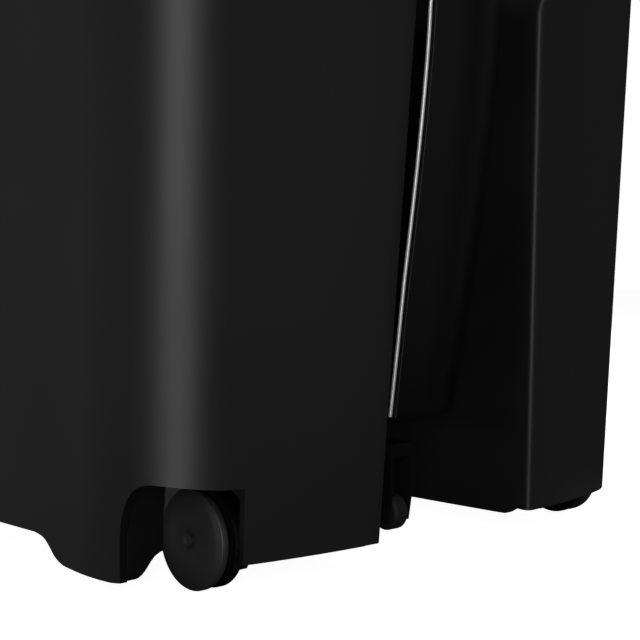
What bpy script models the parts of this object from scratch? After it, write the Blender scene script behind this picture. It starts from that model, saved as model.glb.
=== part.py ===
"""Tennis ball machine: a tall moulded body on four small twin wheels, with a hopper on top.

Metres, +Z up. The front faces -Y, +X is on the right of someone who looks at the front,
and the origin is on the floor under the middle of the machine.
"""

import math

import bmesh
import bpy
from mathutils import Matrix, Vector

# Body plan and side view
FRONT_Y = -0.2627           # front face beside the recess, at floor level
REAR_Y = 0.2631             # rear face at floor level
HALF_WIDTH = 0.2012         # at floor level
FLARE = 0.022               # how fast each side leans out going up
LEAN = 0.053                # how fast the front and the rear lean out going up
KNEE_Z = 0.42               # above this the walls are upright
BODY_TOP = 0.615
SKIN = 0.0035
BOW_RADIUS, BOW_X = 0.488, 0.0442      # each half of the front is bowed about its own line
CORNER_RADIUS, REAR_RADIUS = 0.065, 0.050
EDGE_CHAMFER = 0.0022
REAR_OPENING = 0.120        # half width of the rear cover's opening

# Recess in the front: half width by height
RECESS_HALF = ((0.0, 0.0639), (0.31, 0.0509), (0.40, 0.135), (0.55, 0.135), (0.578, 0.0006))
RECESS_DEPTH = 0.118

# Skirt and wheels
FRONT_SKIRT_Z, FOOT_Z, SIDE_SKIRT_Z = 0.0156, 0.0115, 0.025
ARCH_Y, ARCH_TOP, ARCH_X = 0.0445, 0.056, 0.148
BASE_Z, BASE_THICK = 0.058, 0.004
WHEEL_RADIUS, WHEEL_WIDTH, WHEEL_INNER = 0.0248, 0.0058, 0.0024
WHEEL_X, FRONT_WHEEL_Y = 0.1498, FRONT_Y + 0.0391
TRAIL = 0.014
REAR_STEM_Y = REAR_Y - 0.056
AXLE_RADIUS, GAP = 0.0025, 0.0003

# Cover strip in the recess
STRIP_BOTTOM, STRIP_TOP = 0.0755, 0.318
STRIP_HALF, STRIP_SKIN = 0.0275, 0.0025
STRIP_CROWN = 0.0035         # the strip's middle stands this far forward of its edges
TRIM_RADIUS = 0.0009
TRIM_BACK = 0.0032           # the beads lie this far behind the strip's edges

# Launcher
LAUNCH_Z = 0.42             # height of the ball's path
THROW_RADIUS, PINCH = 0.060, 0.058
THROW_Y, PIVOT_Y = -0.075, 0.050
YAW_Y, YAW_PLATE_RADIUS, YAW_PLATE_Z = 0.020, 0.100, 0.215
ROLLER_RADIUS = 0.020
TUBE_Y, BALL_HOLE = 0.115, 0.037

# Hopper and handle
HOPPER_TOP, HOPPER_KNEE = 0.820, 0.705
DISC_RADIUS, DISC_Y, DISC_Z, DISC_THICK = 0.118, 0.030, 0.6235, 0.040
HANDLE_X, HANDLE_Y, GRIP_Z = 0.095, 0.259, 0.700
ROD_RADIUS, SLEEVE_RADIUS = 0.0070, 0.0090
PANEL_Y, PANEL_Z = REAR_Y + LEAN * KNEE_Z - 0.0035, 0.520
ROCKER_X, ROCKER_SWING = -0.038, 16

PARTS, CUTTERS = "tennis_ball_machine", "cutters"


# Helpers -------------------------------------------------------------------------------------

def clear_scene():
    for obj in list(bpy.data.objects):
        bpy.data.objects.remove(obj)


def collection(name):
    found = bpy.data.collections.get(name)
    if found is None:
        found = bpy.data.collections.new(name)
        bpy.context.scene.collection.children.link(found)
    return found


def material(name, colour, roughness, metallic=0.0):
    made = bpy.data.materials.new(name)
    made.use_nodes = True
    shader = made.node_tree.nodes["Principled BSDF"]
    shader.inputs["Base Color"].default_value = (*colour, 1)
    shader.inputs["Roughness"].default_value = roughness
    shader.inputs["Metallic"].default_value = metallic
    return made


def add(name, mesh, finish):
    """A named part with its material, shaded smooth except at its edges."""
    obj = bpy.data.objects.new(name, mesh)
    collection(PARTS).objects.link(obj)
    mesh.materials.clear()
    mesh.materials.append(finish)
    mesh.shade_smooth()
    mesh.set_sharp_from_angle(angle=math.radians(35))
    return obj


def from_bmesh(name, bm, finish, location=(0, 0, 0)):
    mesh = bpy.data.meshes.new(name)
    bm.to_mesh(mesh)
    bm.free()
    obj = add(name, mesh, finish)
    obj.location = location
    return obj


def box(name, low, high, finish, bevel=0.0):
    low, high = Vector(low), Vector(high)
    bm = bmesh.new()
    bmesh.ops.create_cube(bm, size=1)
    bmesh.ops.scale(bm, vec=high - low, verts=bm.verts)
    obj = from_bmesh(name, bm, finish, (low + high) / 2)
    if bevel:
        round_edges(obj, bevel)
    return obj


def round_edges(obj, width, segments=1):
    modifier = obj.modifiers.new("rounded", "BEVEL")
    modifier.width = width
    modifier.segments = segments
    modifier.limit_method = "ANGLE"
    modifier.angle_limit = math.radians(40)


def cylinder(name, start, end, radius, finish, sides=24, end_radius=None):
    start, end = Vector(start), Vector(end)
    along = end - start
    bm = bmesh.new()
    bmesh.ops.create_cone(bm, cap_ends=True, segments=sides, radius1=radius,
                          radius2=radius if end_radius is None else end_radius, depth=along.length)
    obj = from_bmesh(name, bm, finish, (start + end) / 2)
    obj.rotation_mode = "QUATERNION"
    obj.rotation_quaternion = along.to_track_quat("Z", "Y")
    return obj


def turned(name, profile, centre, axis, finish, steps=32, closed=False):
    """A profile of (radius, height), down its outer side, turned about axis through centre."""
    mesh = bpy.data.meshes.new(name)
    points = [(radius, 0, height) for radius, height in profile]
    edges = [(i, i + 1) for i in range(len(points) - 1)]
    if closed:
        edges.append((len(points) - 1, 0))
    mesh.from_pydata(points, edges, [])
    obj = add(name, mesh, finish)
    obj.location = centre
    obj.rotation_mode = "QUATERNION"
    obj.rotation_quaternion = Vector(axis).to_track_quat("Z", "Y")
    screw = obj.modifiers.new("turn", "SCREW")
    screw.steps = screw.render_steps = steps
    screw.use_merge_vertices = True
    screw.merge_threshold = 0.00001
    screw.use_normal_calculate = False
    return obj


def as_mesh(obj):
    """The evaluated curve as a mesh part with the same name, material and place."""
    name, finish = obj.name, obj.data.materials[0]
    evaluated = obj.evaluated_get(bpy.context.evaluated_depsgraph_get())
    mesh = bpy.data.meshes.new_from_object(evaluated)
    matrix = obj.matrix_world.copy()
    bpy.data.objects.remove(obj)
    bm = bmesh.new()
    bm.from_mesh(mesh)
    bmesh.ops.remove_doubles(bm, verts=bm.verts, dist=0.00001)
    bm.to_mesh(mesh)
    bm.free()
    made = add(name, mesh, finish)
    made.name = name
    made.matrix_world = matrix
    return made


def plate(name, outline, thickness, finish, matrix=Matrix.Identity(4)):
    """A flat outline in XY, extruded both ways from its plane, then placed by matrix."""
    curve = bpy.data.curves.new(name, "CURVE")
    curve.dimensions = "2D"
    curve.fill_mode = "BOTH"
    curve.extrude = thickness / 2
    spline = curve.splines.new("POLY")
    spline.points.add(len(outline) - 1)
    for point, (x, y) in zip(spline.points, outline):
        point.co = (x, y, 0, 1)
    spline.use_cyclic_u = True
    curve.materials.append(finish)
    obj = bpy.data.objects.new(name, curve)
    collection(PARTS).objects.link(obj)
    obj.matrix_world = matrix
    bpy.context.view_layer.update()
    return as_mesh(obj)


def across(x):
    """Puts a plate's XY outline into the YZ plane at x."""
    return Matrix.Translation((x, 0, 0)) @ Matrix(((0, 0, 1, 0), (1, 0, 0, 0), (0, 1, 0, 0), (0, 0, 0, 1)))


def facing(y):
    """Puts a plate's XY outline into the XZ plane at y."""
    return Matrix.Translation((0, y, 0)) @ Matrix(((1, 0, 0, 0), (0, 0, -1, 0), (0, 1, 0, 0), (0, 0, 0, 1)))


def level(z):
    """Puts a plate's XY outline at height z."""
    return Matrix.Translation((0, 0, z))


def rod(name, points, radius, finish, resolution=2):
    curve = bpy.data.curves.new(name, "CURVE")
    curve.dimensions = "3D"
    curve.bevel_depth = radius
    curve.bevel_resolution = resolution
    curve.render_resolution_u = 0
    curve.use_fill_caps = True
    spline = curve.splines.new("POLY")
    spline.points.add(len(points) - 1)
    for point, place in zip(spline.points, points):
        point.co = (*place, 1)
    curve.materials.append(finish)
    obj = bpy.data.objects.new(name, curve)
    collection(PARTS).objects.link(obj)
    return obj


def combine(obj, tool, operation):
    """Cuts obj with tool, or joins tool to it. The tool is a guide and not a part."""
    for owner in list(tool.users_collection):
        owner.objects.unlink(tool)
    collection(CUTTERS).objects.link(tool)
    tool.hide_render = True
    tool.display_type = "WIRE"
    modifier = obj.modifiers.new(operation.lower(), "BOOLEAN")
    modifier.operation = operation
    modifier.solver = "EXACT"
    modifier.object = tool


def cut(obj, tool):
    combine(obj, tool, "DIFFERENCE")


def join(obj, tool):
    combine(obj, tool, "UNION")


def lofted(name, rows, finish, thickness, closed=False):
    """An open skin through rows of points, thickened inward. Rows go up, points go clockwise."""
    bm = bmesh.new()
    grid = [[bm.verts.new(point) for point in row] for row in rows]
    count = len(grid[0])
    for low, high in zip(grid, grid[1:]):
        for i in range(count if closed else count - 1):
            j = (i + 1) % count
            bm.faces.new((low[i], low[j], high[j], high[i]))
    obj = from_bmesh(name, bm, finish)
    solidify = obj.modifiers.new("thickness", "SOLIDIFY")
    solidify.thickness = thickness
    solidify.offset = -1
    solidify.use_even_offset = True
    return obj


def arc(centre, radius, start, end, steps):
    """Points on an arc, angles in degrees from +X."""
    turn = [math.radians(start + (end - start) * i / steps) for i in range(steps + 1)]
    return [(centre[0] + radius * math.cos(a), centre[1] + radius * math.sin(a)) for a in turn]


def between(table, z):
    """Straight-line reading of a table of (height, value)."""
    for (z0, v0), (z1, v1) in zip(table, table[1:]):
        if z <= z1:
            return v0 + (v1 - v0) * (z - z0) / (z1 - z0)
    return table[-1][1]


# The body's plan ------------------------------------------------------------------------------

def half_width(z):
    return HALF_WIDTH + FLARE * min(z, KNEE_Z)


def lean(z):
    return LEAN * min(z, KNEE_Z)


def front_plan(z):
    """The right half of the front, as (x, y) from the recess edge round the corner to the side."""
    inner = between(RECESS_HALF, z)
    edge = max(between(RECESS_HALF[:2] + ((1.0, RECESS_HALF[1][1]),), z), 0.01)
    corner_x = half_width(z) - CORNER_RADIUS
    reach = BOW_RADIUS - CORNER_RADIUS
    start = math.asin((corner_x - BOW_X) / reach)
    back = BOW_RADIUS * (1 - math.cos(math.asin((edge - BOW_X) / BOW_RADIUS)))
    origin_y = FRONT_Y - lean(z) - back
    first = math.asin((inner + EDGE_CHAMFER - BOW_X) / BOW_RADIUS)
    points = []
    for i in range(6):
        a = first + (start - first) * i / 5
        points.append((BOW_X + BOW_RADIUS * math.sin(a), origin_y + BOW_RADIUS * (1 - math.cos(a))))
    corner_y = origin_y + BOW_RADIUS - reach * math.cos(start)
    for i in range(1, 10):
        a = start + (math.pi / 2 - start) * i / 9
        points.append((corner_x + CORNER_RADIUS * math.sin(a), corner_y - CORNER_RADIUS * math.cos(a)))
    return points


def rear_plan(z, end):
    """The right rear corner, as (x, y) from the side to x = end on the rear face."""
    rear = REAR_Y + lean(z)
    corner = (half_width(z) - REAR_RADIUS, rear - REAR_RADIUS)
    return arc(corner, REAR_RADIUS, 0, 90, 6) + [(end, rear)]


def shell_plan(z):
    front = front_plan(z)
    inner = between(RECESS_HALF, z)
    back = FRONT_Y - lean(z) + EDGE_CHAMFER + RECESS_DEPTH
    return [(inner, back), (inner, front[0][1] + EDGE_CHAMFER)] + front + rear_plan(z, REAR_OPENING)


def closed_plan(z, inset, notch=0.0, notch_depth=0.0):
    """The whole outline at height z, moved inward, with a notch for the recess if wanted."""
    half = [(x, y) for x, y in front_plan(z) if x > notch] + rear_plan(z, REAR_OPENING)
    width, depth = half_width(z), REAR_Y + lean(z)
    scale_x, scale_y = (width - inset) / width, (depth - inset) / depth
    half = [(x * scale_x, y * scale_y) for x, y in half]
    if notch:
        y = FRONT_Y + notch_depth
        half = [(notch, y), (notch, half[0][1])] + half
    return half + [(-x, y) for x, y in reversed(half)]


# Body -----------------------------------------------------------------------------------------

def skirt_cutter(side):
    """What lies under a side skirt: a low foot behind the front wheel, a raised middle, a rear foot."""
    front, rear = FRONT_Y, REAR_Y
    outline = [(front - 0.05, -0.02), (front - 0.05, FRONT_SKIRT_Z), (front + 0.020, FRONT_SKIRT_Z)]
    outline += [(front + 0.043, 0.0080), (front + 0.060, 0.0100), (front + 0.075, FOOT_Z)]
    outline += [(front + 0.083, FOOT_Z + 0.0006), (front + 0.090, 0.0150), (front + 0.095, 0.0200)]
    outline += [(front + 0.100, 0.0237), (front + 0.108, SIDE_SKIRT_Z)]
    outline += [(rear - 0.190, SIDE_SKIRT_Z), (rear - 0.182, 0.0237), (rear - 0.172, 0.0137)]
    outline += [(rear - 0.164, FOOT_Z), (rear - 0.116, FOOT_Z), (rear - 0.112, 0.040)]
    outline += [(rear - 0.104, 0.051), (rear - 0.092, ARCH_TOP), (rear + 0.05, ARCH_TOP)]
    outline.append((rear + 0.05, -0.02))
    return plate(f"under_skirt_{side}", outline, 0.35, BLACK, across(side * (0.075 + 0.175)))


def arch_cutter(side):
    """The wheel's cut-out. It wraps round the left corner, and on the right it stays on the side."""
    y = FRONT_Y
    start = y + 0.0205 if side > 0 else y - 0.05
    outline = [(start, -0.02), (start, 0.0520 if side < 0 else 0.050)]
    if side < 0:
        outline += [(y + 0.0084, 0.0520), (y + 0.0170, 0.0540)]
    else:
        outline += [(y + 0.0225, 0.0545)]
    outline += [(y + 0.0270, 0.0557), (y + 0.0311, ARCH_TOP), (y + 0.0350, 0.0547), (y + 0.0382, 0.0510)]
    outline += [(y + 0.0410, 0.0450), (y + 0.0430, 0.0370), (y + ARCH_Y, 0.0240), (y + ARCH_Y, -0.02)]
    return plate(f"wheel_arch_{side}", outline, 0.10, BLACK, across(side * (ARCH_X + 0.05)))


def recess_cutter(side):
    """What lies under the recess wall: a low edge that steps up to the front skirt."""
    y = FRONT_Y
    outline = [(y - 0.05, -0.02), (y - 0.05, FRONT_SKIRT_Z), (y + 0.009, FRONT_SKIRT_Z + 0.0006)]
    outline += [(y + 0.0124, 0.0139), (y + 0.0155, 0.0124), (y + 0.0185, 0.0118), (y + 0.15, 0.0130)]
    outline += [(y + 0.15, -0.02)]
    return plate(f"under_recess_{side}", outline, 0.0752, BLACK, across(side * 0.0376))


def body_shell(side):
    heights = (0.004, 0.060, 0.310, 0.355, 0.400, KNEE_Z, 0.550, 0.578, BODY_TOP)
    rows = []
    for z in heights:
        row = [(side * x, y, z) for x, y in shell_plan(z)]
        rows.append(row if side > 0 else row[::-1])
    name = "right_shell" if side > 0 else "left_shell"
    shell = lofted(name, rows, BLACK, SKIN)
    for cutter in (skirt_cutter(side), recess_cutter(side), arch_cutter(side)):
        cut(shell, cutter)
    if side > 0:
        start, end = (0.130, FRONT_WHEEL_Y, WHEEL_RADIUS), (0.1594, FRONT_WHEEL_Y, WHEEL_RADIUS)
        cut(shell, cylinder("wheel_relief", start, end, 0.0262, BLACK, 32))
    return shell


def foot_web(side):
    """The short wall between the wheel's cut-out and the hollow foot."""
    outline = [(0.1898, 0.0092), (0.1850, 0.0092), (0.1810, 0.0108), (0.1775, 0.0140), (0.1745, 0.0175)]
    outline += [(0.1719, 0.0193), (0.1719, 0.0572), (0.1898, 0.0572)]
    outline = [(side * x, z) for x, z in outline]
    name = "right_foot_web" if side > 0 else "left_foot_web"
    return plate(name, outline, 0.0025, BLACK, facing(FRONT_Y + ARCH_Y + 0.0016))


def base_plate():
    outline = closed_plan(BASE_Z, 0.0055, between(RECESS_HALF, BASE_Z) + 0.0045, RECESS_DEPTH + 0.0005)
    base = plate("base_plate", outline, BASE_THICK, DARK, level(BASE_Z + BASE_THICK / 2))
    for side in (-1, 1):
        place = (side * WHEEL_X, REAR_STEM_Y)
        cut(base, cylinder(f"stem_hole_{side}", (*place, 0.05), (*place, 0.07), 0.0053, DARK, 16))
    return base


def recess_back():
    """The wall across the back of the recess. It leans with the front and has the launching window."""
    low, high = BASE_Z + BASE_THICK + 0.0005, 0.5600
    outline = [(between(RECESS_HALF, z) + 0.008, z) for z in (low, 0.310, 0.400, KNEE_Z, 0.550)]
    outline.append((0.120, high))
    outline += [(-x, z) for x, z in reversed(outline)]
    wall = plate("recess_back", outline, 0.003, BLACK, facing(0))
    cut(wall, box("window", (-0.085, -0.25, 0.338), (0.085, -0.05, 0.545), DARK))
    face = FRONT_Y + EDGE_CHAMFER + RECESS_DEPTH + 0.0020
    for vertex in wall.data.vertices:
        vertex.co.z -= face - lean(vertex.co.y)
    return wall


def strip_half(z):
    return STRIP_HALF - 0.0028 * max(0.0, (0.150 - z) / 0.075)


def strip_depth(z):
    """The strip's distance behind the front plane's foot, deeper towards the bottom."""
    share = max(0.0, (0.295 - z) / 0.220)
    return FRONT_Y - 0.0061 + 0.0312 * share ** 1.27 - 0.10 * max(0.0, z - 0.295)


def strip_path():
    """The strip's middle line, as (y, z), up the front and back over a rounded lip."""
    heights = [STRIP_BOTTOM + (STRIP_TOP - STRIP_BOTTOM) * i / 12 for i in range(13)]
    points = [(strip_depth(z), z) for z in heights]
    y, z = points[-1]
    lip = [(y + 0.014 * (1 - math.cos(a)), z + 0.014 * math.sin(a)) for a in (0.4, 0.8, 1.2, 1.57)]
    return points + lip + [(FRONT_Y - lean(z + 0.014) + EDGE_CHAMFER + RECESS_DEPTH - 0.0002, z + 0.014)]


def strip_frames():
    """Each point of the strip's path with the direction square to it, away from the seen face."""
    path = strip_path()
    frames = []
    for i, (y, z) in enumerate(path):
        (y0, z0), (y1, z1) = path[max(i - 1, 0)], path[min(i + 1, len(path) - 1)]
        length = math.hypot(y1 - y0, z1 - z0)
        frames.append((y, z, (z1 - z0) / length, (y0 - y1) / length))
    return frames


def front_cover():
    rows = []
    frames = strip_frames()
    for i, (y, z, back_y, back_z) in enumerate(frames):
        half = strip_half(z)
        rise = STRIP_CROWN * min(1.0, (len(frames) - 1 - i) / 4)
        section = [(-half, 0.0065), (-half, 0), (-half * 0.6, -rise * 0.64), (0, -rise)]
        section += [(half * 0.6, -rise * 0.64), (half, 0), (half, 0.0065)]
        rows.append([(x, y + back_y * deep, z + back_z * deep) for x, deep in section])
    return lofted("front_cover", rows, GLOSS, STRIP_SKIN)


def front_trim(side):
    points = []
    for y, z, back_y, back_z in strip_frames()[:-1]:
        points.append((side * (strip_half(z) + TRIM_RADIUS + GAP), y + TRIM_BACK * back_y, z + TRIM_BACK * back_z))
    return rod("right_trim" if side > 0 else "left_trim", points, TRIM_RADIUS, CHROME)


def rear_cover():
    """The removable back of the body, with a sunk panel for the controls."""
    half = REAR_OPENING - 0.0006
    low, high = 0.060, BODY_TOP - 0.001
    outline = [(REAR_Y + lean(z), z) for z in (low, KNEE_Z, high)]
    outline += [(y - SKIN, z) for y, z in reversed(outline)]
    cover = plate("rear_cover", outline, 2 * half, BLACK, across(0))
    cut(cover, box("panel_opening", (-0.060, PANEL_Y - 0.02, 0.470), (0.060, PANEL_Y + 0.02, 0.570), DARK))
    cut(cover, cylinder("socket_opening", (0.080, 0.24, 0.125), (0.080, 0.30, 0.125), 0.0134, DARK, 20))
    return cover


def top_deck():
    """The lid of the body and floor of the hopper, with the ball's drop hole."""
    deck = plate("top_deck", closed_plan(BODY_TOP, 0.0), 0.006, BLACK, level(BODY_TOP + 0.0035))
    hole = (0, TUBE_Y)
    cut(deck, cylinder("drop_hole", (*hole, 0.60), (*hole, 0.63), BALL_HOLE, DARK, 32))
    cut(deck, cylinder("drive_hole", (0, DISC_Y, 0.60), (0, DISC_Y, 0.63), 0.008, DARK, 16))
    for side in (-1, 1):
        place = (side * HANDLE_X, HANDLE_Y)
        cut(deck, cylinder(f"rod_hole_{side}", (*place, 0.60), (*place, 0.63), ROD_RADIUS + 0.0004, DARK, 16))
    return deck


# Hopper ---------------------------------------------------------------------------------------

def rounded_loop(half_x, low_y, high_y, radius, steps):
    """A rounded rectangle, clockwise from the rear middle, with steps + 1 points a corner."""
    points = []
    centres = ((half_x - radius, high_y - radius, 90), (half_x - radius, low_y + radius, 0))
    centres += ((radius - half_x, low_y + radius, -90), (radius - half_x, high_y - radius, -180))
    for x, y, start in centres:
        points += arc((x, y), radius, start, start - 90, steps)
    return points


def hopper():
    """A tub with a sloping floor and a round well for the feed disc, on an upright skirt."""
    steps = 7
    well = DISC_RADIUS + 0.006
    count = 4 * (steps + 1)
    circle = []
    for i in range(count):
        a = math.radians(90 - 360 * (i + 0.5) / count)
        circle.append((well * math.cos(a), DISC_Y + well * math.sin(a)))
    rim = rounded_loop(0.2085, -0.2840, 0.2280, 0.055, steps)
    knee = rounded_loop(0.2020, -0.2790, 0.2240, 0.052, steps)
    levels = ((circle, BODY_TOP + 0.0072), (circle, 0.6680), (knee, HOPPER_KNEE), (rim, HOPPER_TOP - 0.004))
    rows = [[(x, y, z) for x, y in loop] for loop, z in levels]
    rows = [row[::-1] for row in rows]
    tub = lofted("hopper", rows, BLACK, 0.0030, closed=True)
    skirt = rounded_loop(0.2000, -0.2770, 0.2220, 0.050, steps)[::-1]
    rows = [[(x, y, z) for x, y in skirt] for z in (BODY_TOP + 0.0072, HOPPER_KNEE + 0.0002)]
    join(tub, lofted("hopper_skirt", rows, BLACK, 0.0030, closed=True))
    return tub


def feed_disc():
    """The turning disc that carries balls to the drop hole, five pockets round a hub."""
    top = DISC_Z + DISC_THICK
    profile = [(0, top + 0.022), (0.012, top + 0.018), (0.022, top), (DISC_RADIUS, top)]
    profile += [(DISC_RADIUS, DISC_Z), (0.0070, DISC_Z), (0.0070, 0.6000), (0, 0.6000)]
    disc = turned("feed_disc", profile, (0, DISC_Y, 0), (0, 0, 1), GREY, 32)
    for i in range(5):
        a = math.radians(90 + 72 * i)
        place = (0.085 * math.cos(a), DISC_Y + 0.085 * math.sin(a))
        cut(disc, cylinder(f"pocket_{i}", (*place, 0.61), (*place, 0.70), 0.0360, GREY, 20))
    return disc


def feed_motor():
    low, high = 0.5800, BODY_TOP + 0.0002
    profile = [(0, low + 0.012), (0.0075, low + 0.012), (0.0075, high), (0.030, high), (0.030, low + 0.004)]
    profile += [(0.026, low), (0, low)]
    return turned("feed_motor", profile, (0, DISC_Y, 0), (0, 0, 1), STEEL, 20)


def ball_tube():
    """The pipe that drops a ball behind the throwing wheels."""
    profile = [(0.0390, 0.6110), (0.0390, 0.5050), (0.0362, 0.5050), (0.0362, 0.6110)]
    return turned("ball_tube", profile, (0, TUBE_Y, 0), (0, 0, 1), CLEAR, 32, closed=True)


# Launcher -------------------------------------------------------------------------------------

def yaw_pedestal():
    low = BASE_Z + BASE_THICK + GAP
    top = YAW_PLATE_Z - 0.0006
    profile = [(0, top), (0.055, top), (0.055, top - 0.012), (0.035, top - 0.020), (0.035, low + 0.012)]
    profile += [(0.060, low + 0.006), (0.060, low), (0, low)]
    return turned("yaw_pedestal", profile, (0, YAW_Y, 0), (0, 0, 1), DARK, 28)


def yaw_frame():
    """A U of plate on a round turning plate, which carries the launcher's pivots."""
    low = YAW_PLATE_Z + 0.004
    half, thick, top = 0.1300, 0.004, LAUNCH_Z + 0.020
    outline = [(-half, low), (half, low), (half, top), (half - thick, top), (half - thick, low + thick)]
    outline += [(thick - half, low + thick), (thick - half, top), (-half, top)]
    frame = plate("yaw_frame", outline, 0.050, STEEL, facing(PIVOT_Y))
    for side in (-1, 1):
        start, end = (side * 0.12, PIVOT_Y, LAUNCH_Z), (side * 0.14, PIVOT_Y, LAUNCH_Z)
        cut(frame, cylinder(f"pivot_hole_{side}", start, end, 0.0053, STEEL, 16))
    low, high = (0, YAW_Y, YAW_PLATE_Z), (0, YAW_Y, YAW_PLATE_Z + 0.006)
    join(frame, cylinder("yaw_plate", low, high, YAW_PLATE_RADIUS, STEEL, 48))
    return frame


def yaw_drive():
    """The yaw motor stands on the base beside the pedestal, with a rubber roller on the plate's rim."""
    y = YAW_Y + YAW_PLATE_RADIUS + ROLLER_RADIUS + GAP
    low = BASE_Z + BASE_THICK + GAP
    top = YAW_PLATE_Z - 0.008
    motor = [(0, top), (0.017, top), (0.017, top - 0.045), (0.022, top - 0.050), (0.022, low), (0, low)]
    turned("yaw_motor", motor, (0, y, 0), (0, 0, 1), STEEL, 24)
    high, base = YAW_PLATE_Z + 0.010, YAW_PLATE_Z - 0.004
    wheel = [(0, high), (ROLLER_RADIUS - 0.001, high), (ROLLER_RADIUS, high - 0.001), (ROLLER_RADIUS, base)]
    wheel += [(0.004, base), (0.004, top + GAP), (0, top + GAP)]
    turned("yaw_drive_roller", wheel, (0, y, 0), (0, 0, 1), RUBBER, 32)


def launcher_side(side):
    """A side plate that holds both throwing wheels, with the pin it pivots on."""
    name = "right_launcher_plate" if side > 0 else "left_launcher_plate"
    low_z, high_z = LAUNCH_Z - 0.112, LAUNCH_Z + 0.112
    outline = [(THROW_Y - 0.020, low_z), (THROW_Y + 0.020, low_z), (THROW_Y + 0.040, LAUNCH_Z - 0.045)]
    outline += [(PIVOT_Y + 0.010, LAUNCH_Z - 0.042), (PIVOT_Y + 0.016, LAUNCH_Z - 0.010)]
    outline += [(PIVOT_Y + 0.016, LAUNCH_Z + 0.014), (THROW_Y + 0.040, LAUNCH_Z + 0.030)]
    outline += [(THROW_Y + 0.020, high_z), (THROW_Y - 0.020, high_z), (THROW_Y - 0.036, LAUNCH_Z)]
    made = plate(name, outline, 0.004, STEEL, across(side * 0.047))
    for z in throw_heights():
        start, end = (side * 0.04, THROW_Y, z), (side * 0.06, THROW_Y, z)
        cut(made, cylinder(f"axle_hole_{side}_{z:.2f}", start, end, 0.0046, STEEL, 16))
    start, end = (side * 0.047, PIVOT_Y, LAUNCH_Z), (side * 0.1325, PIVOT_Y, LAUNCH_Z)
    join(made, cylinder(f"pin_{side}", start, end, 0.005, STEEL, 16))
    return made


def throw_heights():
    reach = PINCH / 2 + THROW_RADIUS
    return (LAUNCH_Z - reach, LAUNCH_Z + reach)


def throw_wheel(name, z):
    """A grooved rubber wheel on its axle."""
    r, half = THROW_RADIUS, 0.020
    profile = [(0, 0.0525), (0.0042, 0.0525), (0.0042, 0.024), (0.016, 0.024), (0.016, 0.010)]
    profile += [(r - 0.016, 0.010), (r - 0.012, half), (r - 0.002, half), (r, half - 0.003)]
    profile.append((r - 0.004, 0.006))
    profile += [(radius, -height) for radius, height in reversed(profile)]
    return turned(name, profile, (0, THROW_Y, z), (1, 0, 0), RUBBER, 28)


def throw_motor(name, z, side):
    """A motor bolted to the outside of a side plate, hollow in front for the wheel's axle."""
    face, end = 0.0493, 0.1180
    profile = [(0, end), (0.026, end), (0.029, end - 0.004), (0.029, face + 0.003), (0.026, face)]
    profile += [(0.008, face), (0.008, face + 0.008), (0, face + 0.008)]
    return turned(name, profile, (0, THROW_Y, z), (side, 0, 0), STEEL, 20)


def ball_guide():
    """A half pipe between the side plates that rolls a ball into the wheels."""
    points = arc((0, LAUNCH_Z), 0.0446, 180, 360, 14) + arc((0, LAUNCH_Z), 0.0380, 360, 180, 14)
    return plate("ball_guide", points, 0.155, CLEAR, facing(0.0755))


def pitch_motor():
    """Sits on the yaw frame's right upright and turns the launcher's pin."""
    start, end = (0.1333, PIVOT_Y, LAUNCH_Z), (0.1680, PIVOT_Y, LAUNCH_Z)
    motor = cylinder("pitch_motor", start, end, 0.018, STEEL, 24)
    foot = (0.1303, PIVOT_Y - 0.012, LAUNCH_Z - 0.018)
    join(motor, box("pitch_foot", foot, (0.1400, PIVOT_Y + 0.012, LAUNCH_Z - 0.0075), STEEL))
    return motor


# Electrics ------------------------------------------------------------------------------------

def electrics():
    low = BASE_Z + BASE_THICK + GAP
    box("battery", (-0.075, 0.175, low), (0.055, 0.245, low + 0.100), GREY, 0.002)
    box("control_box", (-0.080, 0.225, 0.250), (0.080, 0.262, 0.400), DARK, 0.002)
    plug = REAR_Y + lean(0.125)
    profile = [(0, -0.012), (0.0100, -0.012), (0.0100, 0.0015), (0.0130, 0.0005)]
    profile += [(0.0130, -0.016), (0, -0.016)]
    turned("charge_socket", profile, (0.080, plug, 0.125), (0, 1, 0), DARK, 20)


def control_panel():
    """A tray in the rear cover's opening, with holes for the rocker and four buttons."""
    y = PANEL_Y
    tray = box("control_panel", (-0.0592, y - 0.012, 0.4708), (0.0592, y - 0.0015, 0.5692), DARK)
    cut(tray, box("tray_hollow", (-0.0562, y - 0.020, 0.4738), (0.0562, y - 0.0045, 0.5662), DARK))
    low = (ROCKER_X - 0.0075, y - 0.03, PANEL_Z - 0.0137)
    high = (ROCKER_X + 0.0075, y + 0.03, PANEL_Z + 0.0137)
    cut(tray, box("rocker_hole", low, high, DARK))
    for i in range(4):
        start, end = (button_x(i), y - 0.03, PANEL_Z), (button_x(i), y + 0.03, PANEL_Z)
        cut(tray, cylinder(f"button_hole_{i}", start, end, 0.0066, DARK, 20))
    return tray


def button_x(i):
    return -0.010 + 0.018 * i


def panel_buttons():
    y = PANEL_Y
    for i in range(4):
        profile = [(0, 0.0015), (0.0052, 0.0010), (0.0060, 0.0002), (0.0060, -0.0051), (0.0080, -0.0051)]
        profile += [(0.0080, -0.0072), (0, -0.0072)]
        turned(f"panel_button_{i + 1}", profile, (button_x(i), y, PANEL_Z), (0, 1, 0), GREY, 20)
    shape = [(0.0122, 0.0060), (0.0, 0.0036), (-0.0122, 0.0060), (-0.0112, -0.0010), (-0.0040, -0.0045)]
    shape += [(0.0040, -0.0045), (0.0112, -0.0010)]
    half = math.radians(ROCKER_SWING / 2)
    turned_shape = [(u * math.cos(half) - v * math.sin(half), u * math.sin(half) + v * math.cos(half))
                    for u, v in shape]
    rocker = plate("power_rocker", [(v, u) for u, v in turned_shape], 0.0142, RED, across(0))
    rocker.location = (ROCKER_X, y - 0.0045, PANEL_Z)


# Handle ---------------------------------------------------------------------------------------

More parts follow.
